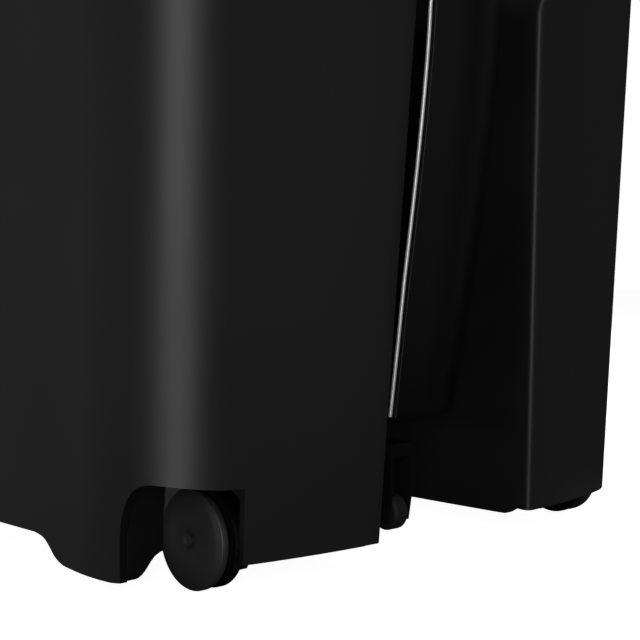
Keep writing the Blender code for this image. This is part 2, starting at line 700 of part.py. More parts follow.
def handle():
    """Two rods that slide in fixed sleeves, with a grip across their tops."""
    for side, word in ((-1, "left"), (1, "right")):
        x = side * HANDLE_X
        r = SLEEVE_RADIUS
        bore = ROD_RADIUS + 0.0004
        profile = [(r, 0.6135), (r, 0.1800), (bore, 0.1800), (bore, 0.6135)]
        turned(f"{word}_handle_sleeve", profile, (x, HANDLE_Y, 0), (0, 0, 1), STEEL, 16, closed=True)
        start, end = (x, HANDLE_Y, 0.1900), (x, HANDLE_Y, GRIP_Z - 0.0153)
        cylinder(f"{word}_handle_rod", start, end, ROD_RADIUS, CHROME, 16)
    low, high = (-0.112, HANDLE_Y - 0.013, GRIP_Z - 0.015), (0.112, HANDLE_Y + 0.013, GRIP_Z + 0.015)
    grip = box("handle_grip", low, high, RUBBER)
    round_edges(grip, 0.006, 2)
    button_hole = ((0, HANDLE_Y, GRIP_Z + 0.005), (0, HANDLE_Y, GRIP_Z + 0.03))
    cut(grip, cylinder("button_well", *button_hole, 0.0090, RUBBER, 20))
    profile = [(0, 0.0185), (0.0060, 0.0180), (0.0080, 0.0165), (0.0080, 0.0095), (0, 0.0095)]
    turned("handle_button", profile, (0, HANDLE_Y, GRIP_Z), (0, 0, 1), RED, 20)


# Wheels ---------------------------------------------------------------------------------------

def wheel(name, centre, outward):
    """One disc of a twin wheel, flat outside with a rounded tread and a bore for the axle."""
    r, w = WHEEL_RADIUS, WHEEL_WIDTH
    bore = AXLE_RADIUS + GAP
    profile = [(bore, w - 0.0008), (r - 0.0045, w - 0.0008), (r - 0.0032, w), (r - 0.0014, w)]
    profile += [(r, w - 0.0012), (r, 0.0), (bore, 0.0)]
    return turned(name, profile, centre, (outward, 0, 0), TYRE, 28, closed=True)


def wheel_pair(name, x, y):
    """Two discs on one axle."""
    for word, outward in (("left", -1), ("right", 1)):
        wheel(f"{name}_{word}_wheel", (x + outward * WHEEL_INNER, y, WHEEL_RADIUS), outward)
    reach = WHEEL_INNER + WHEEL_WIDTH - 0.0004
    start, end = (x - reach, y, WHEEL_RADIUS), (x + reach, y, WHEEL_RADIUS)
    cylinder(f"{name}_axle", start, end, AXLE_RADIUS, STEEL, 16)


def fork(name, x, axle_y, stem_y, top):
    """The blade between the discs, with its mounting head."""
    z = WHEEL_RADIUS
    rear, front = max(axle_y, stem_y) + 0.009, min(axle_y, stem_y) - 0.009
    outline = arc((axle_y, z), 0.0090, 180, 360, 8)
    outline += [(rear, 0.0500), (rear, 0.0530), (front, 0.0530), (front, 0.0500)]
    blade = plate(f"{name}_fork", outline, 0.0036, TYRE, across(x))
    hole = AXLE_RADIUS + GAP
    cut(blade, cylinder(f"{name}_fork_hole", (x - 0.01, axle_y, z), (x + 0.01, axle_y, z), hole, TYRE, 16))
    low, high = (x - 0.011, stem_y - 0.014, 0.0512), (x + 0.011, stem_y + 0.014, top)
    join(blade, box(f"{name}_head", low, high, TYRE))
    return blade


def front_wheels(side, word):
    x = side * WHEEL_X
    name = f"front_{word}"
    wheel_pair(name, x, FRONT_WHEEL_Y)
    fork(name, x, FRONT_WHEEL_Y, FRONT_WHEEL_Y, BASE_Z - GAP)


def rear_caster(side, word):
    x = side * WHEEL_X
    name = f"rear_{word}"
    axle_y = REAR_STEM_Y - TRAIL
    wheel_pair(name, x, axle_y)
    blade = fork(name, x, axle_y, REAR_STEM_Y, BASE_Z - 2 * GAP)
    start, end = (x, REAR_STEM_Y, 0.054), (x, REAR_STEM_Y, 0.0720)
    join(blade, cylinder(f"{name}_stem", start, end, 0.0050, STEEL, 16))


def support_roller():
    """A small roller under the recess that keeps the front off a kerb, between two cheeks."""
    y, z, r = FRONT_Y + 0.0525, 0.0167, 0.0105
    profile = [(0.0023, 0.0055), (r - 0.0015, 0.0055), (r, 0.0040), (r, -0.0040), (r - 0.0015, -0.0055)]
    profile += [(0.0023, -0.0055)]
    turned("support_roller", profile, (0, y, z), (1, 0, 0), TYRE, 24, closed=True)
    cheek = [(y - 0.006, z - 0.005), (y + 0.006, z - 0.005), (y + 0.008, 0.0540), (y + 0.100, 0.0540)]
    cheek += [(y + 0.100, 0.0576), (y - 0.010, 0.0576), (y - 0.010, 0.0350)]
    bracket = plate("roller_bracket", cheek, 0.0200, TYRE, across(0))
    cut(bracket, box("roller_gap", (-0.0066, y - 0.03, -0.01), (0.0066, y + 0.03, 0.0500), TYRE))
    join(bracket, cylinder("roller_pin", (-0.009, y, z), (0.009, y, z), 0.0020, TYRE, 12))
    return bracket


# Assembly -------------------------------------------------------------------------------------

clear_scene()
BLACK = material("black_moulding", (0.018, 0.018, 0.018), 0.42)
GLOSS = material("cover_black", (0.012, 0.012, 0.012), 0.30)
DARK = material("dark_plastic", (0.03, 0.03, 0.03), 0.6)
GREY = material("grey_plastic", (0.18, 0.18, 0.18), 0.5)
CLEAR = material("smoke_plastic", (0.25, 0.25, 0.25), 0.3)
RUBBER = material("rubber", (0.02, 0.02, 0.02), 0.8)
TYRE = material("wheel_black", (0.02, 0.02, 0.02), 0.5)
STEEL = material("steel", (0.6, 0.6, 0.6), 0.35, 1.0)
CHROME = material("chrome", (0.8, 0.8, 0.8), 0.15, 1.0)
RED = material("red_plastic", (0.5, 0.02, 0.02), 0.4)

for hand in (-1, 1):
    body_shell(hand)
    foot_web(hand)
    front_trim(hand)
    launcher_side(hand)
base_plate()
recess_back()
front_cover()
rear_cover()
top_deck()
hopper()
feed_disc()
feed_motor()
ball_tube()
yaw_pedestal()
yaw_frame()
yaw_drive()
for label, height, hand in zip(("lower", "upper"), throw_heights(), (-1, 1)):
    throw_wheel(f"{label}_throw_wheel", height)
    throw_motor(f"{label}_throw_motor", height, hand)
ball_guide()
pitch_motor()
electrics()
control_panel()
panel_buttons()
handle()
for hand, label in ((-1, "left"), (1, "right")):
    front_wheels(hand, label)
    rear_caster(hand, label)
support_roller()
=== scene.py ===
"""Tennis ball machine: the finished look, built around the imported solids."""

import math

import bmesh
import bpy
from mathutils import Matrix, Vector


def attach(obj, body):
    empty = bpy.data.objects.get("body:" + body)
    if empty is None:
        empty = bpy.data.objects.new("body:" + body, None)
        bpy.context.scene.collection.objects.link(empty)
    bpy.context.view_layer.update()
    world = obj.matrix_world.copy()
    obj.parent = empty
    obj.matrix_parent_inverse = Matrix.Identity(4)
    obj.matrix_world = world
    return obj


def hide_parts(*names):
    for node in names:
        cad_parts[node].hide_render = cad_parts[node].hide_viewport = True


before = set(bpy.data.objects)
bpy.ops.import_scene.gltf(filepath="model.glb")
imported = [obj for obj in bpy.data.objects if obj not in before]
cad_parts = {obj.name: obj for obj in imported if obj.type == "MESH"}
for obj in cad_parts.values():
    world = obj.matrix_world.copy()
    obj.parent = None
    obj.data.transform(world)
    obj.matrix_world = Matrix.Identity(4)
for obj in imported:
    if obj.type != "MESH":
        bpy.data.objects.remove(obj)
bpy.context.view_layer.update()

# Body, in metres. These follow the CAD's numbers, but for the recess depth and the left bead.
FRONT_Y, REAR_Y = -0.2627, 0.2631
HALF_WIDTH, FLARE, LEAN, KNEE_Z, BODY_TOP = 0.2012, 0.022, 0.053, 0.42, 0.615
SKIN = 0.0035
BOW_RADIUS, BOW_X = 0.488, 0.0442
CORNER_RADIUS, REAR_RADIUS, EDGE_RADIUS = 0.065, 0.050, 0.0036
REAR_OPENING = 0.120
RECESS_HALF = ((0.0, 0.0639), (0.31, 0.0509), (0.40, 0.135), (0.55, 0.135), (0.578, 0.0006))
RECESS_DEPTH = 0.1202

STRIP_BOTTOM, STRIP_TOP, STRIP_HALF = 0.0755, 0.318, 0.0275
STRIP_CROWN = 0.0035
BEAD_RADIUS, FAR_BEAD_RADIUS, TRIM_BACK = 0.0011, 0.0009, 0.0032

WHEEL_RADIUS, WHEEL_WIDTH, WHEEL_INNER, WHEEL_X = 0.0248, 0.0058, 0.0024, 0.1498
FRONT_WHEEL_Y, REAR_STEM_Y, TRAIL = FRONT_Y + 0.0391, REAR_Y - 0.056, 0.014
ARCH_Y, ARCH_TOP, ARCH_INNER = 0.0445, 0.0575, 0.165

DISC_RADIUS, DISC_Y, WELL_RADIUS = 0.118, 0.030, 0.124
TUBE_Y, BALL_HOLE = 0.115, 0.037
HANDLE_X, HANDLE_Y = 0.095, 0.259
THROW_RADIUS, THROW_Y, LAUNCH_Z, THROW_REACH = 0.060, -0.075, 0.42, 0.089

# Hopper outlines: half width, low y, high y and corner radius.
RIM = (0.2085, -0.2840, 0.2280, 0.055)
KNEE = (0.2020, -0.2790, 0.2240, 0.052)
SKIRT = (0.2000, -0.2770, 0.2220, 0.050)
HOPPER_LOW, HOPPER_STEP, HOPPER_TOP, HOPPER_WALL = 0.6222, 0.7050, 0.8160, 0.0030
DISC_TOP, DISC_BASE = 0.6635, 0.6235
PANEL_HALF, PANEL_LOW, PANEL_HIGH = 0.0600, 0.470, 0.570
SCREW_X, SCREW_HEIGHTS = 0.108, (0.085, 0.330, 0.590)
VENT_COUNT, VENT_LOW, VENT_PITCH = 9, 0.205, 0.013


# Finishes -------------------------------------------------------------------------------------

def shader(name):
    made = bpy.data.materials.new(name)
    made.use_nodes = True
    nodes, links = made.node_tree.nodes, made.node_tree.links
    return made, nodes, links, nodes["Principled BSDF"]


def noise(nodes, links, scale, detail, stretch=(1, 1, 1)):
    """A noise texture over the piece's own coordinates, in metres."""
    place = nodes.new("ShaderNodeTexCoord")
    mapping = nodes.new("ShaderNodeMapping")
    mapping.inputs["Scale"].default_value = stretch
    texture = nodes.new("ShaderNodeTexNoise")
    texture.inputs["Scale"].default_value = scale
    texture.inputs["Detail"].default_value = detail
    links.new(place.outputs["Object"], mapping.inputs["Vector"])
    links.new(mapping.outputs["Vector"], texture.inputs["Vector"])
    return texture.outputs["Fac"]


def ramp(nodes, links, source, low, high, start=0.3, end=0.7):
    made = nodes.new("ShaderNodeMapRange")
    made.inputs["From Min"].default_value = start
    made.inputs["From Max"].default_value = end
    made.inputs["To Min"].default_value = low
    made.inputs["To Max"].default_value = high
    links.new(source, made.inputs["Value"])
    return made.outputs["Result"]


def tint(nodes, links, source, dark, light):
    made = nodes.new("ShaderNodeValToRGB")
    made.color_ramp.elements[0].position = 0.3
    made.color_ramp.elements[1].position = 0.7
    made.color_ramp.elements[0].color = (*dark, 1)
    made.color_ramp.elements[1].color = (*light, 1)
    links.new(source, made.inputs["Fac"])
    return made.outputs["Color"]


def plastic(name, colour, roughness, grain=0.00002, spread=0.12, scale=2600):
    """Moulded plastic: a fine spark-eroded grain, slow waviness and slight unevenness of gloss."""
    made, nodes, links, bsdf = shader(name)
    slow = noise(nodes, links, 14, 3)
    fine = noise(nodes, links, scale, 2)
    dark = [c * (1 - spread) for c in colour]
    light = [c * (1 + spread) for c in colour]
    links.new(tint(nodes, links, slow, dark, light), bsdf.inputs["Base Color"])
    links.new(ramp(nodes, links, slow, roughness - 0.03, roughness + 0.03), bsdf.inputs["Roughness"])
    bump = nodes.new("ShaderNodeBump")
    bump.inputs["Strength"].default_value = 0.5
    bump.inputs["Distance"].default_value = grain
    links.new(fine, bump.inputs["Height"])
    links.new(bump.outputs["Normal"], bsdf.inputs["Normal"])
    return made


def metal(name, colour, roughness, stretch=(1, 1, 1), scratch=0.00001):
    made, nodes, links, bsdf = shader(name)
    bsdf.inputs["Metallic"].default_value = 1
    lines = noise(nodes, links, 900, 3, stretch)
    dark = [c * 0.9 for c in colour]
    links.new(tint(nodes, links, lines, dark, colour), bsdf.inputs["Base Color"])
    links.new(ramp(nodes, links, lines, roughness * 0.8, roughness * 1.25), bsdf.inputs["Roughness"])
    bump = nodes.new("ShaderNodeBump")
    bump.inputs["Strength"].default_value = 0.4
    bump.inputs["Distance"].default_value = scratch
    links.new(lines, bump.inputs["Height"])
    links.new(bump.outputs["Normal"], bsdf.inputs["Normal"])
    return made


BLACK = plastic("body_black", (0.0066, 0.0066, 0.0068), 0.40)
COVER = plastic("cover_black", (0.0024, 0.0024, 0.0025), 0.34, 0.00001)
COVER.node_tree.nodes["Principled BSDF"].inputs["Specular IOR Level"].default_value = 0.24
# Darker than the body moulding: painted shade for the foot walls and front forks deep in the wheel bays.
BAY_PAINTED_SHADE = plastic("wheel_bay_painted_shade", (0.0022, 0.0022, 0.0022), 0.65)
BAY_PAINTED_SHADE.node_tree.nodes["Principled BSDF"].inputs["Specular IOR Level"].default_value = 0.2
DARK = plastic("inner_black", (0.006, 0.006, 0.006), 0.55)
WHEEL = plastic("wheel_black", (0.0215, 0.0215, 0.0217), 0.42, 0.000015)
WHEEL.node_tree.nodes["Principled BSDF"].inputs["Specular IOR Level"].default_value = 0.8
GREY = plastic("grey_moulding", (0.16, 0.16, 0.165), 0.5)
SMOKE = plastic("smoke_moulding", (0.20, 0.20, 0.21), 0.35)
# Darker and duller than BLACK, a shaded copy for the right moulding only: painted shade that tones down the
# bright line on its recess edge.
BLACK_PAINTED_SHADE = plastic("black_moulding_painted_shade", (0.0060, 0.0060, 0.0061), 0.48)
BLACK_PAINTED_SHADE.node_tree.nodes["Principled BSDF"].inputs["Specular IOR Level"].default_value = 0.46
# Stands in for deep shade on faces that the lights would otherwise reach.
SHADE = plastic("shaded_plastic", (0.0025, 0.0025, 0.0025), 0.75, 0.00001)
SHADE.node_tree.nodes["Principled BSDF"].inputs["Specular IOR Level"].default_value = 0.15
ROLLER_RUBBER = plastic("roller_rubber", (0.007, 0.007, 0.007), 0.75, 0.00005, 0.2, 1400)
RUBBER = plastic("soft_rubber", (0.016, 0.016, 0.016), 0.75, 0.00005, 0.2, 1400)
RED = plastic("red_moulding", (0.42, 0.015, 0.012), 0.35, 0.00001)
CHROME = metal("chrome", (0.86, 0.86, 0.87), 0.12)
SILVER = plastic("silver_paint", (0.92, 0.92, 0.93), 0.34, 0.000005, 0.02)
SILVER.node_tree.nodes["Principled BSDF"].inputs["Metallic"].default_value = 0.55
STEEL = metal("brushed_steel", (0.55, 0.55, 0.56), 0.32, (0.02, 1, 1), 0.00002)


# Helpers --------------------------------------------------------------------------------------

def piece(name, mesh, finish, body, nodes=(), sharp=35):
    """A visible piece that rides on a body and stands for the named CAD nodes."""
    obj = bpy.data.objects.new(name, mesh)
    bpy.context.scene.collection.objects.link(obj)
    mesh.materials.clear()
    mesh.materials.append(finish)
    mesh.shade_smooth()
    mesh.set_sharp_from_angle(angle=math.radians(sharp))
    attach(obj, body)
    if nodes:
        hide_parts(*nodes)
    return obj


def from_bmesh(bm, name):
    mesh = bpy.data.meshes.new(name)
    bm.to_mesh(mesh)
    bm.free()
    return mesh


def grid_mesh(name, rows):
    """A quad mesh through rows of points."""
    bm = bmesh.new()
    grid = [[bm.verts.new(point) for point in row] for row in rows]
    count = len(grid[0])
    for low, high in zip(grid, grid[1:]):
        for i in range(count - 1):
            corners = []
            for vert in (low[i], low[i + 1], high[i + 1], high[i]):
                if vert not in corners:
                    corners.append(vert)
            bm.faces.new(corners)
    return from_bmesh(bm, name)


def thicken(obj, thickness):
    modifier = obj.modifiers.new("skin", "SOLIDIFY")
    modifier.thickness = thickness
    modifier.offset = -1
    modifier.use_even_offset = False


def soften(obj, width, segments=2, angle=50):
    modifier = obj.modifiers.new("soft_edges", "BEVEL")
    modifier.width = width
    modifier.segments = segments
    modifier.limit_method = "ANGLE"
    modifier.angle_limit = math.radians(angle)
    modifier.harden_normals = False


def turned_mesh(name, profile, centre, axis, steps=64, closed=False):
    """A profile of (radius, height), down its outer side, turned about axis through centre."""
    turn = Vector(axis).to_track_quat("Z", "Y").to_matrix()
    centre = Vector(centre)
    bm = bmesh.new()
    rings = []
    for radius, height in profile:
        if radius < 1e-7:
            rings.append([bm.verts.new(centre + turn @ Vector((0, 0, height)))])
            continue
        ring = []
        for i in range(steps):
            a = 2 * math.pi * i / steps
            spot = Vector((radius * math.cos(a), radius * math.sin(a), height))
            ring.append(bm.verts.new(centre + turn @ spot))
        rings.append(ring)
    pairs = list(zip(rings, rings[1:])) + ([(rings[-1], rings[0])] if closed else [])
    for upper, lower in pairs:
        for i in range(steps):
            j = (i + 1) % steps
            corners = []
            above, below = len(upper), len(lower)
            for vert in (upper[i % above], lower[i % below], lower[j % below], upper[j % above]):
                if vert not in corners:
                    corners.append(vert)
            if len(corners) > 2:
                bm.faces.new(corners)
    return from_bmesh(bm, name)


def plate_mesh(name, outline, thickness, matrix):
    """A flat outline extruded both ways from its plane and placed by matrix."""
    curve = bpy.data.curves.new(name, "CURVE")
    curve.dimensions = "2D"
    curve.fill_mode = "BOTH"
    curve.extrude = thickness / 2
    spline = curve.splines.new("POLY")
    spline.points.add(len(outline) - 1)
    for point, (x, y) in zip(spline.points, outline):
        point.co = (x, y, 0, 1)
    spline.use_cyclic_u = True
    holder = bpy.data.objects.new(name, curve)
    bpy.context.scene.collection.objects.link(holder)
    bpy.context.view_layer.update()
    mesh = bpy.data.meshes.new_from_object(holder.evaluated_get(bpy.context.evaluated_depsgraph_get()))
    bpy.data.objects.remove(holder)
    mesh.transform(matrix)
    bm = bmesh.new()
    bm.from_mesh(mesh)
    bmesh.ops.remove_doubles(bm, verts=bm.verts, dist=0.00001)
    bmesh.ops.recalc_face_normals(bm, faces=bm.faces)
    bm.to_mesh(mesh)
    bm.free()
    return mesh


def across(x):
    """Puts an XY outline into the YZ plane at x."""
    turn = Matrix(((0, 0, 1, 0), (1, 0, 0, 0), (0, 1, 0, 0), (0, 0, 0, 1)))
    return Matrix.Translation((x, 0, 0)) @ turn


def facing(y):
    """Puts an XY outline into the XZ plane at y."""
    turn = Matrix(((1, 0, 0, 0), (0, 0, -1, 0), (0, 1, 0, 0), (0, 0, 0, 1)))
    return Matrix.Translation((0, y, 0)) @ turn


def arc(centre, radius, start, end, steps):
    turn = [math.radians(start + (end - start) * i / steps) for i in range(steps + 1)]
    return [(centre[0] + radius * math.cos(a), centre[1] + radius * math.sin(a)) for a in turn]


def tube_mesh(name, points, radius, sides=16):
    """A round rod through points, with domed ends."""
    points = [Vector(p) for p in points]
    rows = []
    for i, point in enumerate(points):
        along = (points[min(i + 1, len(points) - 1)] - points[max(i - 1, 0)]).normalized()
        across_way = along.cross(Vector((1, 0, 0)))
        if across_way.length < 0.3:
            across_way = along.cross(Vector((0, 1, 0)))
        across_way.normalize()
        other = along.cross(across_way)
        ring = []
        for k in range(sides):
            a = 2 * math.pi * k / sides
            ring.append(point + radius * (math.cos(a) * across_way + math.sin(a) * other))
        rows.append(ring)
    bm = bmesh.new()
    grid = [[bm.verts.new(p) for p in ring] for ring in rows]
    for low, high in zip(grid, grid[1:]):
        for i in range(sides):
            bm.faces.new((low[i], low[(i + 1) % sides], high[(i + 1) % sides], high[i]))
    bm.faces.new(grid[0][::-1])
    bm.faces.new(grid[-1])
    bmesh.ops.recalc_face_normals(bm, faces=bm.faces)
    return from_bmesh(bm, name)


def between(table, value):
    for (a, v), (b, w) in zip(table, table[1:]):
        if value <= b:
            return v + (w - v) * (value - a) / (b - a)
    return table[-1][1]


# Body -----------------------------------------------------------------------------------------

def half_width(z):
    return HALF_WIDTH + FLARE * min(z, KNEE_Z)


def lean(z):
    """How far the front and rear stand out, with a soft knee where they turn upright."""
    blend = 0.012
    if z < KNEE_Z - blend:
        return LEAN * z
    if z > KNEE_Z + blend:
        return LEAN * KNEE_Z
    t = (z - KNEE_Z + blend) / (2 * blend)
    return LEAN * (KNEE_Z - blend + 2 * blend * (t - t * t / 2))


def recess_half(z):
    return sum(between(RECESS_HALF, z + 0.0025 * k) for k in range(-3, 4)) / 7


def shell_point(t, z):
    """The right half's outer skin at height z. t counts its stretches: recess wall, edge, bow,
    corner, side, rear corner and rear face."""
    inner = recess_half(z)
    edge = max(between(RECESS_HALF[:2] + ((1.0, RECESS_HALF[1][1]),), z), 0.01)
    corner_x = half_width(z) - CORNER_RADIUS
    reach = BOW_RADIUS - CORNER_RADIUS
    start = math.asin((corner_x - BOW_X) / reach)
    back = BOW_RADIUS * (1 - math.cos(math.asin((edge - BOW_X) / BOW_RADIUS)))
    origin_y = FRONT_Y - lean(z) - back
    first = math.asin((inner + EDGE_RADIUS - BOW_X) / BOW_RADIUS)
    mouth = origin_y + BOW_RADIUS * (1 - math.cos(first)) + EDGE_RADIUS
    if t < 1:
        y = FRONT_Y - lean(z) + RECESS_DEPTH
        return inner, y + (mouth - y) * t
    if t < 2:
        a = (t - 1) * math.pi / 2
        return inner + EDGE_RADIUS * (1 - math.cos(a)), mouth - EDGE_RADIUS * math.sin(a)
    if t < 3:
        a = first + (start - first) * (t - 2)
        return BOW_X + BOW_RADIUS * math.sin(a), origin_y + BOW_RADIUS * (1 - math.cos(a))
    corner_y = origin_y + BOW_RADIUS - reach * math.cos(start)
    if t < 4:
        a = start + (math.pi / 2 - start) * (t - 3)
        return corner_x + CORNER_RADIUS * math.sin(a), corner_y - CORNER_RADIUS * math.cos(a)
    rear = REAR_Y + lean(z)
    if t < 5:
        return half_width(z), corner_y + (rear - REAR_RADIUS - corner_y) * (t - 4)
    if t < 6:
        a = (t - 5) * math.pi / 2
        x, y = half_width(z) - REAR_RADIUS, rear - REAR_RADIUS
        return x + REAR_RADIUS * math.cos(a), y + REAR_RADIUS * math.sin(a)
    x = half_width(z) - REAR_RADIUS
    return x + (REAR_OPENING - x) * (t - 6), rear


def chaikin(points):
    """Rounds a polyline's corners and keeps its ends."""
    made = [points[0]]
    for a, b in zip(points, points[1:]):
        made.append(tuple(p * 0.75 + q * 0.25 for p, q in zip(a, b)))
        made.append(tuple(p * 0.25 + q * 0.75 for p, q in zip(a, b)))
    return made + [points[-1]]


def carved(mesh, tools):
    """The mesh with each tool mesh cut away from it."""
    holder = bpy.data.objects.new("holder", mesh)
    bpy.context.scene.collection.objects.link(holder)
    guides = []
    for tool in tools:
        guide = bpy.data.objects.new("guide", tool)
        bpy.context.scene.collection.objects.link(guide)
        modifier = holder.modifiers.new("cut", "BOOLEAN")
        modifier.operation, modifier.solver, modifier.object = "DIFFERENCE", "EXACT", guide
        guides.append(guide)
    bpy.context.view_layer.update()
    made = bpy.data.meshes.new_from_object(holder.evaluated_get(bpy.context.evaluated_depsgraph_get()))
    for obj in [holder] + guides:
        bpy.data.objects.remove(obj)
    return made


def under_skirt(side):
    front, rear = FRONT_Y, REAR_Y
    foot = ((0.020, 0.0156), (0.0425, 0.0080), (0.0600, 0.0100), (0.0750, 0.0115), (0.0830, 0.0121),
            (0.0900, 0.0150), (0.0950, 0.0200), (0.1000, 0.0237), (0.1080, 0.0250))
    back = ((0.190, 0.0250), (0.182, 0.0237), (0.172, 0.0137), (0.164, 0.0115),
            (0.116, 0.0115), (0.112, 0.0400), (0.104, 0.0510), (0.092, 0.0560))
    foot = [(front + y, z) for y, z in foot]
    back = [(rear - y, z) for y, z in back]
    outline = [(front - 0.05, -0.02), (front - 0.05, 0.0156)]
    outline += chaikin(chaikin(foot)) + chaikin(chaikin(back))
    outline += [(rear + 0.05, 0.0560), (rear + 0.05, -0.02)]
    return plate_mesh("under_skirt", outline, 0.35, across(side * (0.075 + 0.175)))


def wheel_arch(side):
    y = FRONT_Y
    if side < 0:
        top = [(y - 0.05, 0.0520), (y + 0.0084, 0.0520), (y + 0.0170, 0.0540), (y + 0.0270, 0.0557)]
    else:
        top = [(y + 0.0205, 0.0480), (y + 0.0209, 0.0515), (y + 0.0228, 0.0543), (y + 0.0270, 0.0557)]
    top += [(y + 0.0311, 0.0562), (y + 0.0352, 0.0549), (y + 0.0386, 0.0513), (y + 0.0413, 0.0450)]
    top += [(y + 0.0432, 0.0370), (y + 0.0443, 0.0240), (y + ARCH_Y, 0.0080)]
    outline = [(top[0][0], -0.02)] + chaikin(chaikin(top)) + [(y + ARCH_Y, -0.02)]
    return plate_mesh("wheel_arch", outline, 0.10, across(side * (0.148 + 0.05)))


def under_recess(side):
    y = FRONT_Y
    foot = [(y + 0.0040, 0.0158), (y + 0.009, 0.0162), (y + 0.0124, 0.0139), (y + 0.0155, 0.0124)]
    foot += [(y + 0.0185, 0.0118), (y + 0.15, 0.0130)]
    outline = [(y - 0.05, -0.02), (y - 0.05, 0.0156)] + chaikin(chaikin(foot)) + [(y + 0.15, -0.02)]
    return plate_mesh("under_recess", outline, 0.0752, across(side * 0.0376))


SKIN_COLUMNS = (16, 6, 26, 28, 34, 14, 4)
SKIN_LEVELS = [0.004, 0.012, 0.020, 0.028, 0.036, 0.044, 0.052, 0.060, 0.070, 0.080, 0.10, 0.13, 0.16, 0.19]
SKIN_LEVELS += [0.22, 0.25, 0.275, 0.292, 0.299, 0.304, 0.308, 0.312, 0.316, 0.322, 0.332, 0.345, 0.360]
SKIN_LEVELS += [0.375, 0.388, 0.394, 0.398, 0.402, 0.406, 0.410, 0.415, 0.420, 0.425, 0.432, 0.450, 0.480]
SKIN_LEVELS += [0.510, 0.532, 0.541, 0.545, 0.549, 0.553, 0.557, 0.562, 0.567, 0.571, 0.575, 0.579, 0.583]
SKIN_LEVELS += [0.590, 0.600, 0.6085, BODY_TOP]


def skin_points(side, inward):
    """Rows of points on one half's skin, moved inward square to the outline at each height."""
    stretch = [k + i / count for k, count in enumerate(SKIN_COLUMNS) for i in range(count)] + [6.9999]
    rows = []
    for z in SKIN_LEVELS:
        row = []
        for t in stretch:
            x, y = shell_point(t, z)
            x0, y0 = shell_point(max(t - 0.004, 0), z)
            x1, y1 = shell_point(min(t + 0.004, 6.9999), z)
            length = math.hypot(x1 - x0, y1 - y0)
            nx, ny = (y1 - y0) / length, (x0 - x1) / length
            row.append((side * (x - inward * nx), y - inward * ny, z))
        rows.append(row)
    return rows


def body_shell(side):
    word = "right" if side > 0 else "left"
    outer, inner = skin_points(side, 0), skin_points(side, SKIN)
    bm = bmesh.new()
    ring = [[bm.verts.new(p) for p in out + back[::-1]] for out, back in zip(outer, inner)]
    count, half = len(ring[0]), len(outer[0])
    for low, high in zip(ring, ring[1:]):
        for i in range(count):
            j = (i + 1) % count
            bm.faces.new((low[i], low[j], high[j], high[i]))
    for row in (ring[0], ring[-1]):
        for i in range(half - 1):
            bm.faces.new((row[i], row[i + 1], row[count - 2 - i], row[count - 1 - i]))
    bmesh.ops.recalc_face_normals(bm, faces=bm.faces)
    tools = [under_skirt(side), under_recess(side), wheel_arch(side)]
    if side > 0:
        relief = [(0.0, 0.0147), (0.0262, 0.0147), (0.0262, -0.0147), (0.0, -0.0147)]
        centre = (0.1447, FRONT_WHEEL_Y, WHEEL_RADIUS)
        tools.append(turned_mesh("relief", relief, centre, (1, 0, 0), 64))
    mesh = carved(from_bmesh(bm, word), tools)
    # The right half takes the shaded copy of the same plastic: painted shade.
    finish = BLACK if side < 0 else BLACK_PAINTED_SHADE
    obj = piece(f"{word}_body_moulding", mesh, finish, "body", [f"{word}_shell"], 40)
    obj.data.materials.append(SHADE)
    for face in obj.data.polygons:
        x, y, z = face.center
        in_arch = z < ARCH_TOP and FRONT_Y < y < FRONT_Y + ARCH_Y + 0.002 and abs(x) > ARCH_INNER
        if in_arch and abs(face.normal.x) < 0.35 and abs(face.normal.z) < 0.97:
            face.material_index = 1
    soften(obj, 0.0006, 2, 55)


def foot_web(side):
    word = "right" if side > 0 else "left"
    outline = [(0.1898, 0.0092), (0.1850, 0.0092), (0.1828, 0.0098), (0.1808, 0.0110), (0.1790, 0.0126)]
    outline += [(0.1773, 0.0146), (0.1757, 0.0166), (0.1738, 0.0184), (0.1719, 0.0194), (0.1700, 0.0202),
                (0.1688, 0.0204), (0.1688, 0.0380), (0.1676, 0.0440), (0.1672, 0.0572)]
    outline += [(0.1898, 0.0572)]
    outline = [(side * x, z) for x, z in outline]
    mesh = plate_mesh(f"{word}_web", outline, 0.0025, facing(FRONT_Y + ARCH_Y + 0.0016))
    soften(piece(f"{word}_foot_wall", mesh, BAY_PAINTED_SHADE, "body", [f"{word}_foot_web"]), 0.0005)


# Cover strip ----------------------------------------------------------------------------------

def strip_half(z):
    return STRIP_HALF - 0.0028 * max(0.0, (0.150 - z) / 0.075)


def strip_depth(z):
    share = max(0.0, (0.295 - z) / 0.220)
    return FRONT_Y - 0.0061 + 0.0312 * share ** 1.27 - 0.10 * max(0.0, z - 0.295)


def strip_path():
    heights = [STRIP_BOTTOM + (STRIP_TOP - STRIP_BOTTOM) * i / 60 for i in range(61)]
    points = [(strip_depth(z), z) for z in heights]
    y, z = points[-1]
    for i in range(1, 13):
        a = math.pi / 2 * i / 12
        points.append((y + 0.014 * (1 - math.cos(a)), z + 0.0138 * math.sin(a)))
    end = FRONT_Y - LEAN * (z + 0.014) + RECESS_DEPTH - 0.0002
    start = points[-1]
    for i in range(1, 9):
        points.append((start[0] + (end - start[0]) * i / 8, start[1]))
    return points


def strip_frames():
    """Each point of the strip's path with the direction square to it, away from the seen face."""
    path = strip_path()
    frames = []
    for i, (y, z) in enumerate(path):
        (y0, z0), (y1, z1) = path[max(i - 1, 0)], path[min(i + 1, len(path) - 1)]
        length = math.hypot(y1 - y0, z1 - z0)
        frames.append((y, z, (z1 - z0) / length, (y0 - y1) / length))
    return frames


